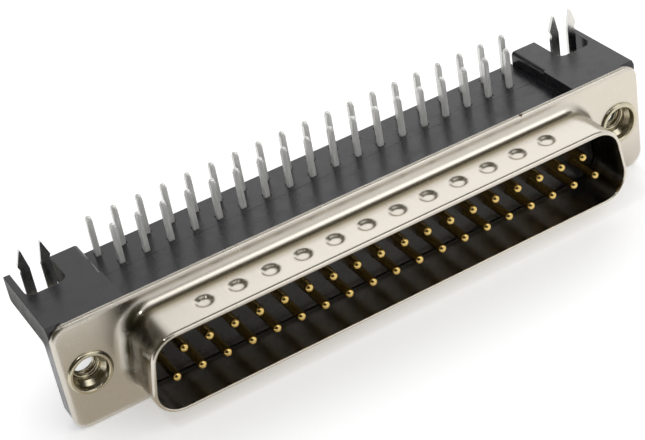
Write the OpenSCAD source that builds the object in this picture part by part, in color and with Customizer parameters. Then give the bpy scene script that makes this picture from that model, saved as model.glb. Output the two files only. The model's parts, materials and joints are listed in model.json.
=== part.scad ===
// Right-angle D-type board connector with pins, lying on its hood with the solder tails up.
// X runs along the connector, the mating face looks to -Y, and the board sits on top at +Z.
// Distances "behind" and "in front" are measured from the front face of the flange.

/* [Contacts] */
// Contacts in the long row (the short row has one less)
long_row = 19; // [9:1:25]
// Distance between neighbours in a row
pitch = 2.77; // [2.6:0.01:3]
// Distance between the two rows of pins
row_gap = 2.84; // [2.6:0.02:3.2]
// Diameter of the pins
pin_d = 1; // [0.9:0.01:1.2]
// Reach of the pin tips in front of the flange
pin_reach = 4.9; // [4:0.05:5.6]
// Side of the square posts
post_w = 0.6; // [0.45:0.01:0.64]
// Rounding of the long edges of the posts
post_edge_r = 0.08; // [0.04:0.01:0.15]
// Distance behind the flange where the round pin turns into the square post
post_start = 5.6; // [4:0.1:6.4]
// Radius of the bend, at the middle of the post
bend_r = 0.8; // [0.6:0.05:1]
// Distance of the front tail row behind the flange
tail_y = 8.08; // [7.9:0.02:8.6]
// Distance between the two tail rows
tail_gap = 2.84; // [2.6:0.02:3]
// Reach of the tails above the board seat
tail_reach = 3.1; // [2:0.1:4]
// Height of the rounded tips of the tails
tail_tip = 0.22; // [0.1:0.01:0.28]
// Radial clearance of the contacts in the housing
contact_play = 0.03; // [0.02:0.01:0.08]

/* [Front shell] */
// Thickness of the sheet, at the flange
sheet_t = 0.5; // [0.35:0.01:0.6]
// Thickness of the drawn wall
wall_t = 0.36; // [0.3:0.01:0.5]
// Depth of the shell in front of the flange
shell_depth = 6; // [5.7:0.05:6.6]
// Height of the mouth, inside
shell_h = 8.3; // [7.9:0.02:9]
// Radius of the mouth's corners, inside
shell_r = 2.6; // [2:0.05:3.2]
// Slope of the mouth's short sides
side_angle = 10; // [6:0.5:14]
// Distance from the last pin of the long row to the shell's inside
shell_margin = 2.78; // [2.5:0.02:3.2]
// Radius of the bend from the wall into the flange, in front
base_r = 1.25; // [0.5:0.25:1.25]
// Rounding of the lip
lip_r = 0.4; // [0.2:0.05:0.5]
// Height of the flange
flange_h = 12.5; // [12:0.1:13.2]
// Corner radius of the flange
flange_r = 1.7; // [1:0.1:2.4]
// Rounding of the flange's front edge
flange_edge_r = 0.4; // [0.1:0.05:0.5]
// Distance from the shell's inside to the screw axis
screw_offset = 4.04; // [3.9:0.02:5]
// Distance from the screw axis to the end of the flange
ear = 2.9; // [2.7:0.05:3.6]
// Distance between the dimples
dimple_pitch = 3.65; // [3:0.05:5]
// Radius of the dimples at the surface
dimple_r = 1; // [0.7:0.05:1.3]
// Width of the dimples' sloping edge
dimple_edge = 0.4; // [0.2:0.05:0.6]
// Depth of the dimples
dimple_depth = 0.25; // [0.15:0.01:0.4]
// Distance of the dimples in front of the flange
dimple_reach = 3.3; // [2.8:0.1:3.8]
// Least distance of the dimples from the ends of the straight wall
dimple_margin = 4.4; // [2:0.1:8]

/* [Housing] */
// Clearance between the insulator and the shell
nose_play = 0.05; // [0.02:0.01:0.15]
// Reach of the insulator's face in front of the flange
nose_reach = 0.6; // [0.2:0.1:1.4]
// Thickness of the back plate behind the flange
plate_t = 2.3; // [2:0.1:3.2]
// Distance of the contact block's rear face behind the flange
block_y = 6.9; // [6.6:0.05:7.1]
// Distance of the wings' and the hood's rear edge behind the flange
wing_y = 11.65; // [11.4:0.05:12.4]
// Thickness of the wings
wing_t = 2.9; // [2.2:0.1:3.6]
// Inset of the moulding from the flange's outline
moulding_inset = 0.06; // [0.02:0.01:0.2]
// Depth of the middle below the board seat
middle_drop = 1.55; // [1:0.05:2]
// Distance from the last contact of the long row to the wing
wing_gap = 1.57; // [1.3:0.01:2]
// Rounding of the wing's inner upper edge
inner_edge_r = 0.45; // [0.2:0.05:0.7]
// Distance behind the flange where that rounding starts
root_y = 5.7; // [4:0.1:6.5]
// Thickness of the hood's roof
roof_t = 1.25; // [0.8:0.05:1.6]
// Thickness of the hood's sides
side_t = 1.3; // [0.8:0.05:1.8]
// Width of the ledge that carries the tail spacer
ledge_w = 0.75; // [0.4:0.05:1]
// Width of the notch for the board lock
notch_w = 4.3; // [4:0.05:4.5]
// Distance of the notch floor behind the flange
notch_y = 6.85; // [6:0.05:7.6]
// Radius of the notch's inner corners
notch_r = 0.9; // [0.4:0.05:1.2]
// Radius of the hollow corner between wing and back plate
root_r = 0.6; // [0.3:0.05:1.2]
// Radius of the wing's lower rear edge
wing_edge_r = 0.4; // [0.2:0.05:0.8]
// Chamfer of the wing beside the flange
seat_chamfer = 0.3; // [0.1:0.05:0.5]

/* [Tail spacer] */
// Thickness of the spacer
spacer_t = 2.2; // [1.6:0.1:2.3]
// Distance of the spacer's rear edge behind the flange
spacer_y = 12.05; // [11.6:0.05:12.6]
// Clearance round the spacer
spacer_play = 0.03; // [0.02:0.01:0.1]
// Clearance of the tails in their holes, each side
hole_play = 0.1; // [0.06:0.01:0.25]
// Rounding of the spacer's upper rear edge
spacer_edge_r = 0.1; // [0.05:0.01:0.3]

/* [Board locks] */
// Thickness of the sheet
lock_t = 0.4; // [0.25:0.05:0.5]
// Distance of the board locks behind the flange
lock_y = 9; // [8.6:0.05:9.6]
// Width over both prongs
lock_w = 3.2; // [2.8:0.05:3.4]
// Gap between the prongs
lock_gap = 1.2; // [0.8:0.05:1.4]
// Reach of the prongs above the board seat
lock_reach = 3.75; // [3.4:0.05:4.4]
// Height of the barbs' widest point above the board seat
barb_z = 2.1; // [1.9:0.05:2.5]
// Height of the barbs' shoulders
barb_h = 0.55; // [0.3:0.05:0.8]
// Reach of the barbs past the prongs
barb_out = 0.14; // [0.06:0.01:0.25]
// Width of a prong's blunt tip
lock_tip = 0.16; // [0.08:0.02:0.3]
// Height of the bar that joins the prongs
lock_bar = 1.1; // [0.8:0.05:1.3]
// Depth of the grooves that hold the bar
groove_depth = 0.25; // [0.15:0.05:0.35]
// Clearance of the bar in its grooves
lock_play = 0.03; // [0.02:0.01:0.06]

/* [Threaded inserts] */
// Diameter of the bore, at the root of its thread
bore_d = 2.85; // [2.4:0.05:3.1]
// Wall of the barrel round the wide mouth of the bore
mouth_wall = 0.15; // [0.1:0.01:0.25]
// Depth of the mouth behind the flange
mouth_depth = 0.9; // [0.7:0.05:1.5]
// Diameter of the barrel
barrel_d = 4; // [3.8:0.05:4.4]
// Reach of the flared lip past the barrel
flare_out = 0.4; // [0.3:0.05:0.6]
// Height of the flared lip in front of the flange
flare_t = 0.3; // [0.2:0.05:0.4]
// Rounding of the lip's inner edge
flare_edge_r = 0.18; // [0.05:0.01:0.2]
// Reach of the hexagonal head's flats past the barrel
head_out = 0.4; // [0.2:0.05:0.6]
// Thickness of the head, sunk into the back plate
head_t = 0.9; // [0.6:0.1:1.4]
// Clearance of the barrel and the head in the housing
barrel_play = 0.03; // [0.02:0.01:0.1]

/* [Hidden] */
$fn = 48;
// Overlap of joined volumes and overrun of cuts
eps = 0.2;
short_row = long_row - 1;
contact_count = long_row + short_row;
function contact_name(n) = str("contact_", n < 10 ? "0" : "", n);

shell_colour = [0.84, 0.81, 0.76];
plastic_colour = [0.2, 0.2, 0.22];
gold_colour = [0.83, 0.64, 0.25];
tin_colour = [0.8, 0.8, 0.78];
lock_colour = [0.6, 0.59, 0.57];
insert_colour = [0.76, 0.74, 0.7];

// Lengths along X, all grown from the long row of contacts
row_half = (long_row - 1) / 2 * pitch;
shell_half = row_half + shell_margin;
screw_x = shell_half + screw_offset;
flange_half = screw_x + ear;
moulding_half = flange_half - moulding_inset;
wing_in = row_half + wing_gap;
spacer_half = wing_in - spacer_play;

// Heights, with zero at the middle of the mouth
seat_z = flange_h / 2;
middle_z = seat_z - middle_drop;
roof_z = -flange_h / 2;
spacer_z = middle_z - spacer_t;
wing_z = seat_z - wing_t;
tail_z = seat_z + tail_reach;

// Places behind the flange's front face
plate_y = sheet_t + plate_t;
spacer_front = block_y + spacer_play;

// The part stands on its hood with the middle of its box over the origin
datum_y = (shell_depth - spacer_y) / 2;
datum_z = flange_h / 2;

// Centres of the round corners of the mouth and of the flange, counterclockwise
lower_x = shell_half - shell_r;
corner_z = shell_h / 2 - shell_r;
upper_x = lower_x - 2 * corner_z * tan(side_angle);
mouth_centres = [[-lower_x, -corner_z], [lower_x, -corner_z], [upper_x, corner_z], [-upper_x, corner_z]];
function plate_centres(half, high, r) =
    [[r - half, r - high], [half - r, r - high], [half - r, high - r], [r - half, high - r]];

// Roundings that are limited by their walls and neighbours
least_edge = 0.02;
lip_round = min(lip_r, wall_t - least_edge);
edge_round = min(flange_edge_r, sheet_t - least_edge);
base_round = min(base_r, (flange_h - shell_h) / 2 - wall_t - edge_round - least_edge);
dimple_count = floor(2 * (upper_x - dimple_margin) / dimple_pitch) + 1;

// Contacts 1 to long_row sit in the long row, the rest in the short row
function in_long_row(n) = n <= long_row;
function contact_x(n) = in_long_row(n)
    ? (n - 1) * pitch - row_half
    : (n - long_row - 1) * pitch - (short_row - 1) / 2 * pitch;
function contact_z(n) = in_long_row(n) ? -row_gap / 2 : row_gap / 2;
function contact_tail_y(n) = in_long_row(n) ? tail_y + tail_gap : tail_y;

// Moves from the flange's front face and the middle of the mouth to the part's own frame
module at_datum() {
    translate([0, datum_y, datum_z]) children();
}

// Stands a drawing up so that it faces the mating side and grows forward
module facing() {
    rotate([90, 0, 0]) children();
}

// Extrudes a drawing of [behind, up] along X from one place to another
module along_x(from, to) {
    translate([from, 0, 0]) rotate([90, 0, 90]) linear_extrude(to - from) children();
}

// Draws something of the right end and its mirror image at the left end
module both_ends() {
    children();
    mirror([1, 0, 0]) children();
}

function edge_angle(centres, i) =
    let (run = centres[(i + 1) % len(centres)] - centres[i]) atan2(-run.x, run.y);

// Carries a profile of [outward, forward] round a path of straight runs and round corners
module carry_round(centres, r) {
    count = len(centres);
    for (i = [0 : count - 1]) {
        before = edge_angle(centres, (i + count - 1) % count);
        after = edge_angle(centres, i);
        run = norm(centres[(i + 1) % count] - centres[i]);
        translate(centres[i]) rotate(before)
            rotate_extrude(angle = (after - before + 360) % 360) translate([r, 0]) children();
        translate(centres[i]) rotate(after) rotate([90, 0, 0]) translate([0, 0, -run])
            linear_extrude(run) translate([r, 0]) children();
    }
}

// Outline with straight runs and round corners
module round_outline(centres, r) {
    count = len(centres);
    polygon([for (i = [0 : count - 1], a = [edge_angle(centres, (i + count - 1) % count), edge_angle(centres, i)])
        centres[i] + r * [cos(a), sin(a)]]);
    for (c = centres) translate(c) circle(r);
}

module plate_outline(half, high, r) {
    round_outline(plate_centres(half, high, r), r);
}

module mouth_outline(out) {
    round_outline(mouth_centres, shell_r + out);
}

// Hexagonal prism with two flats up and down, sized to the middle of its flats
module hexagon(r, h) {
    cylinder(r = r / cos(30), h = h, $fn = 6);
}

// Quarter of a disc in the first quadrant
module quarter_disc(r) {
    intersection() {
        circle(r);
        square(r);
    }
}

// Corner between two straight edges, left over outside a round fillet
module fillet_corner(r) {
    difference() {
        square(r);
        translate([r, r]) circle(r);
    }
}

// Section of the drawn wall: bend out of the flange, straight wall and rounded lip
module shell_section() {
    difference() {
        translate([0, -sheet_t]) square([wall_t + base_round, sheet_t + base_round]);
        translate([wall_t + base_round, base_round]) circle(base_round);
        translate([0, -sheet_t]) fillet_corner(wall_t + base_round);
    }
    translate([0, base_round]) square([wall_t, shell_depth - lip_round - base_round]);
    translate([0, shell_depth - lip_round]) {
        square([wall_t - lip_round, lip_round]);
        translate([wall_t - lip_round, 0]) quarter_disc(lip_round);
    }
}

// Flange with its rounded front edge, before the holes
module flange_blank() {
    inner = edge_round;
    translate([0, 0, -sheet_t]) {
        linear_extrude(sheet_t)
            plate_outline(flange_half - inner, flange_h / 2 - inner, flange_r - inner);
        carry_round(plate_centres(flange_half, flange_h / 2, flange_r), flange_r - inner) {
            square([inner, sheet_t - inner]);
            translate([0, sheet_t - inner]) quarter_disc(inner);
        }
    }
}

// Row of tapered plugs that point into the mouth from a face of the long upper wall
module dimple_plugs(face) {
    widening = eps * dimple_edge / dimple_depth;
    for (i = [0 : dimple_count - 1])
        translate([(i - (dimple_count - 1) / 2) * dimple_pitch, face + eps, dimple_reach]) rotate([90, 0, 0])
            cylinder(r1 = dimple_r + widening, r2 = dimple_r - dimple_edge, h = dimple_depth + eps);
}

module front_shell() {
    color(shell_colour) at_datum() facing() difference() {
        union() {
            difference() {
                flange_blank();
                translate([0, 0, -sheet_t - eps]) linear_extrude(sheet_t + 2 * eps) {
                    mouth_outline(wall_t + base_round);
                    both_ends() translate([screw_x, 0]) circle(barrel_d / 2 + barrel_play);
                }
            }
            carry_round(mouth_centres, shell_r) shell_section();
            dimple_plugs(shell_h / 2);
        }
        dimple_plugs(shell_h / 2 + wall_t);
    }
}

// Outline of a wing and of the back plate's end, seen from the end as [behind, up]
module wing_side() {
    difference() {
        union() {
            translate([sheet_t, wing_z]) square([wing_y - sheet_t, wing_t]);
            translate([plate_y, wing_z]) mirror([0, 1]) fillet_corner(root_r);
        }
        translate([sheet_t, seat_z]) rotate(-45)
            square(seat_chamfer * sqrt(2), center = true);
        translate([wing_y, wing_z]) rotate(90) fillet_corner(wing_edge_r);
    }
}

// Notch for the board lock with its round inner corners, seen from the board
module notch_outline() {
    half = notch_w / 2;
    for (side = [-1, 1]) translate([side * (half - notch_r), notch_y + notch_r]) circle(notch_r);
    translate([-half, notch_y + notch_r]) square([notch_w, wing_y - notch_y]);
    translate([notch_r - half, notch_y]) square([notch_w - 2 * notch_r, wing_y - notch_y]);
}

// Room for the board lock's bar, open below
module lock_groove() {
    translate([-notch_w / 2 - groove_depth, lock_y - lock_play, wing_z - eps])
        cube([notch_w + 2 * groove_depth, lock_t + 2 * lock_play, lock_bar + eps + lock_play]);
}

module wing() {
    difference() {
        along_x(wing_in, moulding_half) wing_side();
        translate([screw_x, 0, wing_z - eps]) linear_extrude(wing_t + 2 * eps) notch_outline();
        translate([screw_x, 0, 0]) lock_groove();
    }
}

// Edge that is taken off the wing beside the tails, with the root left sharp
module inner_edge() {
    facing() translate([wing_in, seat_z, -wing_y - eps]) linear_extrude(wing_y + eps - root_y)
        mirror([0, 1]) fillet_corner(inner_edge_r);
}

// Side of the hood with the ledge for the tail spacer
module hood_side() {
    translate([wing_in, plate_y - eps, roof_z])
        cube([side_t, wing_y - plate_y + eps, seat_z - roof_z]);
    translate([wing_in - ledge_w, plate_y - eps, roof_z])
        cube([ledge_w + eps, wing_y - plate_y + eps, spacer_z - roof_z]);
}

module back_plate() {
    translate([0, 0, -plate_y]) linear_extrude(plate_t) difference() {
        plate_outline(moulding_half, flange_h / 2, flange_r);
        // The middle lies below the board seat
        translate([-wing_in, middle_z]) square([2 * wing_in, middle_drop + eps]);
    }
}

module contact_bores() {
    for (n = [1 : contact_count])
        translate([contact_x(n), contact_z(n), -block_y - eps])
            cylinder(d = pin_d + 2 * contact_play, h = block_y + nose_reach + 2 * eps);
}

// Insulator that carries the pins inside the shell
module nose() {
    translate([0, 0, -plate_y]) linear_extrude(plate_y + nose_reach) mouth_outline(-nose_play);
}

// Room for a threaded insert: round for the barrel, hexagonal for the head
module insert_seat() {
    translate([0, 0, -plate_y - eps]) {
        cylinder(d = barrel_d + 2 * barrel_play, h = plate_t + 2 * eps);
        hexagon(barrel_d / 2 + head_out + barrel_play, head_t + eps);
    }
}

module housing() {
    color(plastic_colour) at_datum() difference() {
        union() {
            facing() {
                back_plate();
                nose();
            }
            // Contact block and roof of the hood
            translate([-wing_in - eps, plate_y - eps, roof_z]) {
                cube([2 * (wing_in + eps), block_y - plate_y + eps, middle_z - roof_z]);
                cube([2 * (wing_in + eps), wing_y - plate_y + eps, roof_t]);
            }
            both_ends() {
                wing();
                hood_side();
            }
        }
        facing() {
            contact_bores();
            both_ends() translate([screw_x, 0]) insert_seat();
        }
        both_ends() inner_edge();
    }
}

// Spacer seen from the end as [behind, up]
module spacer_side() {
    difference() {
        translate([spacer_front, spacer_z]) square([spacer_y - spacer_front, spacer_t]);
        translate([spacer_y, middle_z]) rotate(180) fillet_corner(spacer_edge_r);
    }
}

module tail_spacer() {
    hole = post_w + 2 * hole_play;
    color(plastic_colour) at_datum() difference() {
        along_x(-spacer_half, spacer_half) spacer_side();
        for (n = [1 : contact_count])
            translate([contact_x(n) - hole / 2, contact_tail_y(n) - hole / 2, spacer_z - eps])
                cube([hole, hole, spacer_t + 2 * eps]);
    }
}

// Square section of a post with rounded edges
module post_section() {
    half = post_w / 2;
    plate_outline(half, half, post_edge_r);
}

module pin() {
    dome = pin_d / 2;
    facing() {
        translate([0, 0, -post_start]) cylinder(d = pin_d, h = post_start + pin_reach - dome);
        translate([0, 0, pin_reach - dome]) sphere(dome);
    }
}

// Square post: straight out of the housing, round the bend and up to the rounded tip
module post(back, rise) {
    tip_sphere = (pow(post_w / 2, 2) + pow(tail_tip, 2)) / (2 * tail_tip);
    facing() translate([0, 0, bend_r - back]) linear_extrude(back - bend_r - post_start + eps) post_section();
    translate([0, back - bend_r, bend_r]) rotate([0, 90, 0]) rotate_extrude(angle = 90)
        translate([bend_r, 0]) post_section();
    translate([0, back, bend_r]) intersection() {
        linear_extrude(rise - bend_r) post_section();
        translate([0, 0, rise - bend_r - tip_sphere]) sphere(tip_sphere);
    }
    translate([0, back, bend_r]) linear_extrude(rise - bend_r - 2 * tail_tip) post_section();
}

module contact(n) {
    at_datum() translate([contact_x(n), 0, contact_z(n)]) {
        color(gold_colour) pin();
        color(tin_colour) post(contact_tail_y(n), tail_z - contact_z(n));
    }
}

// Right half of the fork's outline from the bar round the prong, with heights measured from the board seat
function fork_half(bar, waist, gap, foot) = [
    [bar, -wing_t],
    [bar, foot],
    [waist, foot],
    [waist, barb_z - 2 * barb_h],
    [waist - barb_out / 2, barb_z - barb_h],
    [waist + barb_out, barb_z],
    [(gap + waist + lock_tip) / 2, lock_reach],
    [(gap + waist - lock_tip) / 2, lock_reach],
    [gap, barb_z - barb_h],
    [gap, foot]
];

module board_lock() {
    half = fork_half(notch_w / 2 + groove_depth - lock_play, lock_w / 2, lock_gap / 2, lock_bar - wing_t);
    other_half = [for (i = [len(half) - 1 : -1 : 0]) [-half[i].x, half[i].y]];
    translate([0, lock_y + lock_t, seat_z]) rotate([90, 0, 0])
        linear_extrude(lock_t) polygon(concat(half, other_half));
}

module board_lock_left() {
    color(lock_colour) at_datum() translate([-screw_x, 0, 0]) board_lock();
}

module board_lock_right() {
    color(lock_colour) at_datum() translate([screw_x, 0, 0]) board_lock();
}

// Half section of the insert's barrel as [radius, forward]
module insert_section() {
    bore = bore_d / 2;
    mouth = barrel_d / 2 - mouth_wall;
    flare = barrel_d / 2 + flare_out - flare_t;
    difference() {
        union() {
            translate([bore, -plate_y]) square([barrel_d / 2 - bore, plate_y]);
            translate([bore, 0]) square([flare - bore, flare_t]);
            translate([flare, 0]) quarter_disc(flare_t);
        }
        polygon([
            [0, flare_t + eps],
            [mouth, flare_t + eps],
            [mouth, mouth - bore - mouth_depth],
            [bore, -mouth_depth],
            [0, -mouth_depth]
        ]);
        translate([mouth, flare_t]) mirror([0, 1]) fillet_corner(flare_edge_r);
    }
}

module threaded_insert() {
    facing() {
        rotate_extrude() insert_section();
        translate([0, 0, -plate_y]) difference() {
            hexagon(barrel_d / 2 + head_out, head_t);
            translate([0, 0, -eps]) cylinder(d = bore_d, h = head_t + 2 * eps);
        }
    }
}

module threaded_insert_left() {
    color(insert_colour) at_datum() translate([-screw_x, 0, 0]) threaded_insert();
}

module threaded_insert_right() {
    color(insert_colour) at_datum() translate([screw_x, 0, 0]) threaded_insert();
}

front_shell();
housing();
tail_spacer();
for (n = [1 : contact_count]) contact(n);
board_lock_left();
board_lock_right();
threaded_insert_left();
threaded_insert_right();
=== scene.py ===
# Finish, light and camera for the right-angle D-type board connector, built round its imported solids.
import json
import math

import bmesh
import bpy
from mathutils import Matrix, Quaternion, Vector


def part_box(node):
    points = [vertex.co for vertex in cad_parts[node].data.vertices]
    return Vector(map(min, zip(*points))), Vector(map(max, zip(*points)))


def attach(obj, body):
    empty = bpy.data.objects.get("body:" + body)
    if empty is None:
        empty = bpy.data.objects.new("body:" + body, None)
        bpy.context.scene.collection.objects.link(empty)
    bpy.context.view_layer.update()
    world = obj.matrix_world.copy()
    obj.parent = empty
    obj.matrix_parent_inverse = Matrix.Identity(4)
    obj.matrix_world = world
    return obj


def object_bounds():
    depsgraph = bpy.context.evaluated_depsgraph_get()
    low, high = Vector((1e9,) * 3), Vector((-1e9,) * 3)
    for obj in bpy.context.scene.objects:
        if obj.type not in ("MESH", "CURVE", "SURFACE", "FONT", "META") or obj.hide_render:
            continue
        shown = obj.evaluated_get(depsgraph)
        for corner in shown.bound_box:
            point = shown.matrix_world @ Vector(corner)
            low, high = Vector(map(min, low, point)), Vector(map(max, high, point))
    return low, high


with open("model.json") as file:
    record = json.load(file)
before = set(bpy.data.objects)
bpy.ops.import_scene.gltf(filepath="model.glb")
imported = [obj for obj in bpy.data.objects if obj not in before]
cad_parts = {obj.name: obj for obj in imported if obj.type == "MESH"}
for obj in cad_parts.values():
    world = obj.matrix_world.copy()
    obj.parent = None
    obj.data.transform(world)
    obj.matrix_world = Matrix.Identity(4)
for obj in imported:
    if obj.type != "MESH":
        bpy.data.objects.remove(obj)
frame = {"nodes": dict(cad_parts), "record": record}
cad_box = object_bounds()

MM = 0.001
MICRON = 1e-6
WHITE = (1, 1, 1, 1)
BLACK = (0, 0, 0, 1)

# Camera, as the photograph was taken
CAMERA_EYE = Vector((-62.512, -130.926, 105.837)) * MM
CAMERA_TARGET = Vector((-4.673, -2.466, 10.692)) * MM
CAMERA_ROLL = math.radians(-10.68)
CAMERA_LENS = 95.175
CAMERA_SENSOR = 36
CAMERA_NEAR = 5 * MM
CAMERA_FAR = 20

# Thread in the inserts: how far its foot is sunk into the bore, the turns in which it rises at its ends,
# half the widths of its crest and foot as shares of the pitch, and its sections in a turn
THREAD_PITCH = 0.635 * MM
THREAD_CREST = 1.15 * MM
THREAD_LENGTH = 1.5 * MM
THREAD_SUNK = 0.03 * MM
THREAD_FADE = 0.35
THREAD_TOP = 0.12
THREAD_FOOT = 0.43
THREAD_STEPS = 48

# Values between which noise lies mostly, and those of its steep middle
NOISE_RANGE = (0.3, 0.7)
NOISE_MIDDLE = (0.4, 0.6)

# Plated sheet: its darkest and lightest colour, the colour of its dirt specks and of the painted shade at
# the foot and the ends of its wall, its roughness from and to, the radius that rounds its edges, and the
# specks on it
PLATE = ((0.62, 0.578, 0.51, 1), (0.66, 0.616, 0.545, 1))
SPECK_COLOUR = (0.12, 0.09, 0.06, 1)
FOOT_SHADE_COLOUR = (0.2, 0.175, 0.11, 1)
END_SHADE_COLOUR = (0.1, 0.092, 0.07, 1)
FLANGE_ROUGHNESS = (0.25, 0.33)
WALL_ROUGHNESS = (0.19, 0.23)
LIP_ROUGHNESS = 0.1
PLATE_EDGE = 0.45 * MM
SPECK_SPACING = 2.4 * MM
SPECK_RADIUS = 0.24 * MM
SPECK_SHARE = 0.3

# Bands in which the sheet's finish and the painted shade at the foot of its wall change, as distances in
# front of the flange
SHELL_DEPTH = 6 * MM
FLANGE_BAND = (0.5 * MM, 0.1 * MM)
FOOT_START = (1.85 * MM, 1.3 * MM)
FOOT_END = (1.15 * MM, 0.75 * MM)
FOOT_SHADE_STRENGTH = 0.85
WALL_BAND = (5.4 * MM, 4.6 * MM)
LIP_BAND = (5.75 * MM, 5.5 * MM)

# Painted shade on the ends of the drawn wall: from the middle outwards, from the floor upwards, and its
# strengths
END_BAND = (25.2 * MM, 26.8 * MM)
END_HEIGHT = (2.6 * MM, 4.8 * MM)
END_LOW_SHARE = 0.3
END_SHADE_STRENGTH = (0.75, 1)

# Black plastic
PLASTIC = ((0.01, 0.01, 0.012, 1), (0.015, 0.015, 0.018, 1))
PLASTIC_ROUGHNESS = (0.2, 0.32)
PLASTIC_IOR = 1.5
PLASTIC_EDGE = 0.1 * MM

# Contacts, gold for a distance behind the front of the housing and then tin
GOLD = ((0.62, 0.44, 0.15, 1), (0.72, 0.53, 0.2, 1))
GOLD_REACH = 4 * MM
GOLD_FADE = 0.2 * MM
GOLD_ROUGHNESS = (0.08, 0.17)
TIN = ((0.78, 0.775, 0.75, 1), (0.97, 0.965, 0.94, 1))
TIN_METALLIC = 0.3
TIN_ROUGHER = 0.08

# Locks and inserts
LOCK = ((0.62, 0.61, 0.59, 1), (0.74, 0.73, 0.71, 1))
LOCK_ROUGHNESS = (0.14, 0.24)
INSERT = ((0.5, 0.45, 0.33, 1), (0.62, 0.57, 0.44, 1))
INSERT_ROUGHNESS = (0.18, 0.28)

# Stage: the floor's side in metres, the point that lamps and hung cards look at, and the watts on a square
# metre of panel that make it look white
FLOOR_SIZE = 4
FLOOR_COLOUR = (0.9, 0.9, 0.9, 1)
FLOOR_GLOW = 0.32
SKY_LIGHT = 0.62
AIM = Vector((0, 0, 6 * MM))
PANEL_WATTS = 4

# Tones of the cards that show in reflections
DARK = (0.045, 0.04, 0.02, 1)
CEILING_TONE = (0.1, 0.09, 0.062, 1)
CORNER_TONE = (0.13, 0.12, 0.1, 1)
# Painted shadow of the part on the floor in front of the flange, seen only in reflections
FLOOR_SHADOW_TONE = (0.52, 0.48, 0.41, 1)
# Painted pool of light: a card that glows brighter than the floor, seen only in reflections
PAINTED_LIGHT_TONE = (1.2, 1.18, 1.14, 1)


class Tree:
    """Nodes of a material or of the world, and short ways to make them."""

    def __init__(self, owner):
        owner.use_nodes = True
        self.nodes = owner.node_tree.nodes
        self.links = owner.node_tree.links

    def give(self, target, value):
        """Links a socket to a value that comes from another node, or sets it to a plain value."""
        if isinstance(value, bpy.types.NodeSocket):
            self.links.new(value, target)
        else:
            target.default_value = value

    def node(self, kind, feeds=(), **settings):
        made = self.nodes.new("ShaderNode" + kind)
        for name, value in settings.items():
            setattr(made, name, value)
        for socket, value in dict(feeds).items():
            self.give(made.inputs[socket], value)
        return made

    def maths(self, operation, *values):
        made = self.node("Math", operation=operation)
        for target, value in zip(made.inputs, values):
            self.give(target, value)
        return made.outputs["Value"]

    def product(self, first, *others):
        for other in others:
            first = self.maths("MULTIPLY", first, other)
        return first

    def seen_directly(self):
        """1 for rays from the camera and those that metal mirrors or glass bends, 0 for other light."""
        path = self.node("LightPath").outputs
        mirrored = self.maths("MAXIMUM", path["Is Glossy Ray"], path["Is Transmission Ray"])
        return self.maths("MAXIMUM", path["Is Camera Ray"], mirrored)


class Surface(Tree):
    """A material: one shader, and short ways to make what feeds it."""

    def __init__(self, name, **sockets):
        self.material = bpy.data.materials.new(name)
        super().__init__(self.material)
        self.shader = self.nodes["Principled BSDF"]
        for socket, value in sockets.items():
            self.shader.inputs[socket.replace("_", " ")].default_value = value

    def feed(self, socket, value):
        self.links.new(value, self.shader.inputs[socket])

    def place(self):
        """Place on the object, in metres. For the solids it is also the place in the frame."""
        return self.node("TexCoord").outputs["Object"]

    def axes(self):
        """X, Y and Z of the place."""
        return self.node("SeparateXYZ", {"Vector": self.place()}).outputs

    def noise(self, size, detail, stretch=(1, 1, 1)):
        """Noise between 0 and 1 with blotches of about the given size, in metres."""
        scale = tuple(1 / size / times for times in stretch)
        scaled = self.node("Mapping", {"Vector": self.place(), "Scale": scale}).outputs["Vector"]
        return self.node("TexNoise", {"Vector": scaled, "Scale": 1, "Detail": detail}).outputs["Fac"]

    def spread(self, value, low, high, start=NOISE_RANGE[0], end=NOISE_RANGE[1]):
        """Spreads a value from start..end to low..high, and holds it there."""
        feeds = {"Value": value, "From Min": start, "From Max": end, "To Min": low, "To Max": high}
        return self.node("MapRange", feeds).outputs["Result"]

    def blend(self, factor, first, second, kind="Color"):
        """Mixes two colours, or two values of the kind Float."""
        mixed = self.node("Mix", data_type="RGBA" if kind == "Color" else "FLOAT")
        inputs = {socket.identifier: socket for socket in mixed.inputs}
        self.give(inputs["Factor_Float"], factor)
        self.give(inputs["A_" + kind], first)
        self.give(inputs["B_" + kind], second)
        return next(socket for socket in mixed.outputs if socket.identifier == "Result_" + kind)

    def specks(self, spacing, largest, share):
        """1 on round specks up to the largest radius, in the given share of cells, 0 between them."""
        cells = self.node("TexVoronoi", {"Vector": self.place(), "Scale": 1 / spacing}).outputs
        pick = self.node("SeparateColor", {"Color": cells["Color"]}).outputs
        chosen = self.maths("LESS_THAN", pick["Red"], share)
        radius = self.maths("MULTIPLY", pick["Green"], largest / spacing)
        return self.maths("MULTIPLY", chosen, self.maths("LESS_THAN", cells["Distance"], radius))

    def rounded(self, radius, samples):
        """Normal that rounds the edges by the given radius."""
        return self.node("Bevel", {"Radius": radius}, samples=samples).outputs["Normal"]

    def bump(self, height, depth, below=None):
        """Raises the surface by height times depth, in metres, over what is already bumped below."""
        feeds = {"Height": height, "Distance": depth, "Strength": 1}
        if below:
            feeds["Normal"] = below
        return self.node("Bump", feeds).outputs["Normal"]


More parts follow.
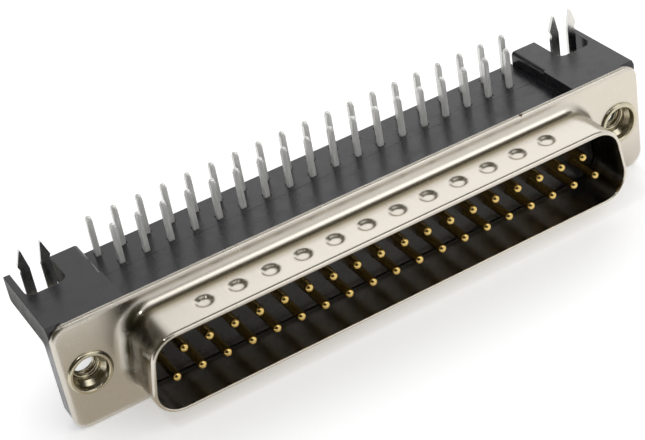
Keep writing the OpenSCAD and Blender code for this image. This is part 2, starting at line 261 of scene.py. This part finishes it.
def plated_sheet():
    """Satin flange with dirt specks, drawn wall with painted shade at its foot and on its ends, and
    polished lip.
    """
    flange_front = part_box("front_shell")[0].y + SHELL_DEPTH
    made = Surface("plated_sheet", Metallic=1)
    x, y, z = made.axes()

    def ahead(band, low, high):
        """Goes from low to high over a band in front of the flange."""
        return made.spread(y, low, high, flange_front - band[0], flange_front - band[1])

    flange = ahead(FLANGE_BAND, 0, 1)
    plate = made.blend(made.noise(size=6 * MM, detail=4), *PLATE)
    # Painted shade: a darker band at the foot of the wall, where it meets the flange
    foot = made.product(ahead(FOOT_START, 0, 1), ahead(FOOT_END, FOOT_SHADE_STRENGTH, 0))
    plate = made.blend(foot, plate, FOOT_SHADE_COLOUR)
    # Painted shade: the ends of the wall darkened in blotches, more so higher up
    ends = made.spread(made.maths("ABSOLUTE", x), 0, 1, *END_BAND)
    upper = made.spread(z, END_LOW_SHARE, 1, *END_HEIGHT)
    blotches = made.spread(made.noise(size=1.1 * MM, detail=5), *END_SHADE_STRENGTH, *NOISE_MIDDLE)
    wall = made.product(ahead(WALL_BAND, 0, 1), made.maths("SUBTRACT", 1, flange))
    plate = made.blend(made.product(blotches, upper, ends, wall), plate, END_SHADE_COLOUR)
    dirt = made.product(flange, made.specks(SPECK_SPACING, SPECK_RADIUS, SPECK_SHARE))
    made.feed("Base Color", made.blend(dirt, plate, SPECK_COLOUR))
    satin = made.spread(made.noise(size=2 * MM, detail=3), *FLANGE_ROUGHNESS)
    drawn = made.spread(made.noise(size=0.25 * MM, detail=3, stretch=(1, 16, 1)), *WALL_ROUGHNESS)
    drawn = made.blend(ahead(LIP_BAND, 1, 0), drawn, LIP_ROUGHNESS, "Float")
    made.feed("Roughness", made.blend(flange, drawn, satin, "Float"))
    edges = made.rounded(PLATE_EDGE, samples=8)
    made.feed("Normal", made.bump(made.noise(size=1.2 * MM, detail=3), depth=4 * MICRON, below=edges))
    return made.material


def satin_plastic():
    """Black moulding with faint clouds, a fine grain and softened edges."""
    made = Surface("satin_plastic", IOR=PLASTIC_IOR)
    made.feed("Base Color", made.blend(made.noise(size=5 * MM, detail=4), *PLASTIC))
    made.feed("Roughness", made.spread(made.noise(size=1.5 * MM, detail=5), *PLASTIC_ROUGHNESS))
    edges = made.rounded(PLASTIC_EDGE, samples=6)
    made.feed("Normal", made.bump(made.noise(size=0.12 * MM, detail=2), depth=2 * MICRON, below=edges))
    return made.material


def contact_metal():
    """Gold on the pin in front, tin on the post and the tail behind, both drawn lengthwise."""
    gold_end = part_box("housing")[0].y + GOLD_REACH
    made = Surface("contact_metal")
    behind = made.spread(made.axes()["Y"], 0, 1, gold_end, gold_end + GOLD_FADE)
    streak = made.noise(size=0.15 * MM, detail=3, stretch=(1, 12, 12))
    gold = made.blend(streak, *GOLD)
    tin = made.blend(made.spread(streak, 0, 1, *NOISE_MIDDLE), *TIN)
    made.feed("Base Color", made.blend(behind, gold, tin))
    made.feed("Metallic", made.blend(behind, 1, TIN_METALLIC, "Float"))
    polish = made.spread(streak, *GOLD_ROUGHNESS)
    made.feed("Roughness", made.maths("MULTIPLY_ADD", behind, TIN_ROUGHER, polish))
    made.feed("Normal", made.bump(streak, depth=2 * MICRON))
    return made.material


def bright_steel(name, colours, roughness):
    made = Surface(name, Metallic=1)
    cloud = made.noise(size=0.8 * MM, detail=4)
    made.feed("Base Color", made.blend(cloud, *colours))
    made.feed("Roughness", made.spread(cloud, *roughness))
    made.feed("Normal", made.bump(made.noise(size=0.3 * MM, detail=3), depth=2 * MICRON))
    return made.material


def paint(materials):
    """Gives each solid the material of its slot."""
    for part in frame["record"]["subparts"]:
        mesh = frame["nodes"][part["node"]].data
        mesh.materials.clear()
        mesh.materials.append(materials[part["material_slot"]])


def thread_section(turn, turns, root):
    """Section of the thread as (radius, along) pairs, with no rise at both ends of the thread."""
    rise = min(1, turn / THREAD_FADE, (turns - turn) / THREAD_FADE)
    crest = root + (THREAD_CREST - root) * rise
    along = turn * THREAD_PITCH
    corners = ((root, -THREAD_FOOT), (crest, -THREAD_TOP), (crest, THREAD_TOP), (root, THREAD_FOOT))
    return [(radius, along + share * THREAD_PITCH) for radius, share in corners]


def add_thread(mount, material):
    """Right-hand thread inside the bore of a mount, starting at its front end."""
    axis = Vector(mount["axis"])
    start = Vector(mount["pos_m"]) + axis * (mount["dims"]["length_mm"] / 2 * MM - THREAD_PITCH / 2)
    root = mount["dims"]["r_mm"] * MM + THREAD_SUNK
    up = Vector((0, 0, 1))
    side = up.cross(axis)
    turns = THREAD_LENGTH / THREAD_PITCH
    made = bmesh.new()
    rings = []
    for step in range(round(turns * THREAD_STEPS) + 1):
        turn = min(step / THREAD_STEPS, turns)
        angle = 2 * math.pi * turn
        out = up * math.cos(angle) + side * math.sin(angle)
        section = thread_section(turn, turns, root)
        rings.append([made.verts.new(start + out * radius - axis * along) for radius, along in section])
    for ring, after in zip(rings, rings[1:]):
        for i in range(len(ring)):
            made.faces.new((ring[i - 1], ring[i], after[i], after[i - 1]))
    made.faces.new(rings[0])
    made.faces.new(rings[-1])
    bmesh.ops.recalc_face_normals(made, faces=made.faces)
    mesh = bpy.data.meshes.new(mount["name"] + "_thread")
    made.to_mesh(mesh)
    made.free()
    mesh.shade_smooth()
    mesh.materials.append(material)
    thread = bpy.data.objects.new(mesh.name, mesh)
    bpy.context.scene.collection.objects.link(thread)
    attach(thread, "root")


def add_camera():
    data = bpy.data.cameras.new("photo_camera")
    data.sensor_width = CAMERA_SENSOR
    data.lens = CAMERA_LENS
    data.clip_start = CAMERA_NEAR
    data.clip_end = CAMERA_FAR
    camera = bpy.data.objects.new("photo_camera", data)
    camera.location = CAMERA_EYE
    level = (CAMERA_TARGET - CAMERA_EYE).to_track_quat("-Z", "Y")
    camera.rotation_mode = "QUATERNION"
    camera.rotation_quaternion = level @ Quaternion((0, 0, 1), CAMERA_ROLL)
    bpy.context.scene.collection.objects.link(camera)
    bpy.context.scene.camera = camera


def add_world():
    """Even light on surfaces, and plain white where the camera, metal or glass sees past the floor."""
    world = bpy.data.worlds.new("studio")
    tree = Tree(world)
    light = tree.nodes["Background"]
    light.inputs["Color"].default_value = WHITE
    light.inputs["Strength"].default_value = SKY_LIGHT
    white = tree.node("Background", {"Color": WHITE})
    mixed = tree.node("MixShader", {"Fac": tree.seen_directly()})
    tree.links.new(light.outputs["Background"], mixed.inputs[1])
    tree.links.new(white.outputs["Background"], mixed.inputs[2])
    tree.links.new(mixed.outputs["Shader"], tree.nodes["World Output"].inputs["Surface"])
    bpy.context.scene.world = world


def add_plane(name, size_x, size_y):
    mesh = bpy.data.meshes.new(name)
    half_x = size_x / 2
    half_y = size_y / 2
    corners = [(-half_x, -half_y, 0), (half_x, -half_y, 0), (half_x, half_y, 0), (-half_x, half_y, 0)]
    mesh.from_pydata(corners, [], [(0, 1, 2, 3)])
    made = bpy.data.objects.new(name, mesh)
    bpy.context.scene.collection.objects.link(made)
    return made


def add_floor():
    floor = add_plane("floor", FLOOR_SIZE, FLOOR_SIZE)
    floor.location.z = cad_box[0][2]
    matt = {"Roughness": 1, "Specular_IOR_Level": 0}
    made = Surface("pale_floor", Base_Color=FLOOR_COLOUR, Emission_Color=WHITE, **matt)
    made.feed("Emission Strength", made.maths("MULTIPLY", made.seen_directly(), FLOOR_GLOW))
    floor.data.materials.append(made.material)


def aim(made):
    """Turns a lamp or card towards the part."""
    made.rotation_mode = "QUATERNION"
    made.rotation_quaternion = (AIM - made.location).to_track_quat("-Z", "Y")


def add_softbox(name, place, size, tone):
    """Panel that looks as bright as the tone in a perfect mirror."""
    data = bpy.data.lights.new(name, "AREA")
    data.shape = "RECTANGLE"
    data.size = size[0]
    data.size_y = size[1]
    data.energy = tone * PANEL_WATTS * size[0] * size[1]
    made = bpy.data.objects.new(name, data)
    made.location = place
    bpy.context.scene.collection.objects.link(made)
    aim(made)
    return made


def card_paint(name, tone, size, fades):
    """Even tone that fades out over the given lengths at the -X, +X, -Y and +Y edges of a card."""
    matt = {"Base_Color": BLACK, "Roughness": 1, "Specular_IOR_Level": 0}
    made = Surface(name, Emission_Color=tone, Emission_Strength=1, **matt)
    x, y, _ = made.axes()
    edges = ((x, 1, size[0]), (x, -1, size[0]), (y, 1, size[1]), (y, -1, size[1]))
    cover = []
    for (along, sign, length), fade in zip(edges, fades):
        inward = made.maths("MULTIPLY_ADD", along, sign, length / 2)
        ramp = made.node("MapRange", {"Value": inward, "From Max": fade}, interpolation_type="SMOOTHSTEP")
        cover.append(ramp.outputs["Result"])
    made.feed("Alpha", made.product(*cover))
    made.material.cycles.emission_sampling = "NONE"
    return made.material


def add_card(name, tone, place, size, fades):
    """Level card that shows in reflections and nowhere else."""
    made = add_plane(name, *size)
    made.location = place
    made.data.materials.append(card_paint(name, tone, size, fades))
    made.visible_camera = False
    made.visible_diffuse = False
    made.visible_shadow = False
    return made


def add_lights():
    """Lamps, in metres. The first lights the part from behind and doesn't show in the metal."""
    key = add_softbox("back_softbox", place=(0.3, 0.42, 0.38), size=(0.8, 0.5), tone=1.2)
    key.visible_glossy = False
    add_softbox("back_panel", place=(0.44, 0.49, 0.46), size=(0.58, 0.5), tone=0.28)
    add_softbox("front_panel", place=(0.31, -0.43, 0.69), size=(0.5, 0.34), tone=0.75)
    add_softbox("small_lamp", place=(-0.17, -0.04, 0.42), size=(0.045, 0.045), tone=15)


def add_cards():
    """Cards, in metres: one overhead, two hung and turned to the part, and four just over the floor."""
    add_card("ceiling_flag", CEILING_TONE, place=(0, 0.19, 0.6), size=(1.6, 0.62),
             fades=(0.1, 0.1, 0.07, 0.14))
    room = add_card("room_flag", DARK, place=(-0.5, -0.5, 0.5), size=(2.3, 1.1),
                    fades=(0.1, 0.3, 0.02, 0.02))
    aim(room)
    corner = add_card("corner_flag", CORNER_TONE, place=(-0.53, 0.73, 0.5), size=(1.55, 0.9),
                      fades=(0.45, 0.1, 0.1, 0.1))
    aim(corner)
    add_card("far_floor_flag", DARK, place=(-0.4, -0.343, 0.0004), size=(1, 0.63),
             fades=(0.1, 0.2, 0.1, 0.025))
    # Painted shadow of the part on the floor in front of the flange
    add_card("floor_flag", FLOOR_SHADOW_TONE, place=(0.012, -0.0121, 0.0003), size=(0.096, 0.0178),
             fades=(0.003, 0.075, 0.003, 0.0003))
    # Painted pool of light on the floor to the front and right of the part
    add_card("floor_light_card", PAINTED_LIGHT_TONE, place=(0.05, -0.04, 0.00035), size=(0.16, 0.07),
             fades=(0.08, 0.02, 0.03, 0.004))
    # Painted shadow of the part on the floor behind its left end
    add_card("notch_shadow_flag", DARK, place=(-0.0345, 0.02, 0.0002), size=(0.01, 0.02),
             fades=(0.001, 0.002, 0.003, 0.003))


def main():
    bpy.context.scene.view_settings.view_transform = "Standard"
    add_camera()
    add_world()
    add_floor()
    add_lights()
    add_cards()
    materials = {
        "plated_shell": plated_sheet(),
        "black_plastic": satin_plastic(),
        "contact_metal": contact_metal(),
        "lock_metal": bright_steel("lock_metal", LOCK, LOCK_ROUGHNESS),
        "insert_metal": bright_steel("insert_metal", INSERT, INSERT_ROUGHNESS),
    }
    paint(materials)
    for mount in frame["record"]["mounts"]:
        if mount["kind"] == "threaded_hole":
            add_thread(mount, materials["insert_metal"])


main()
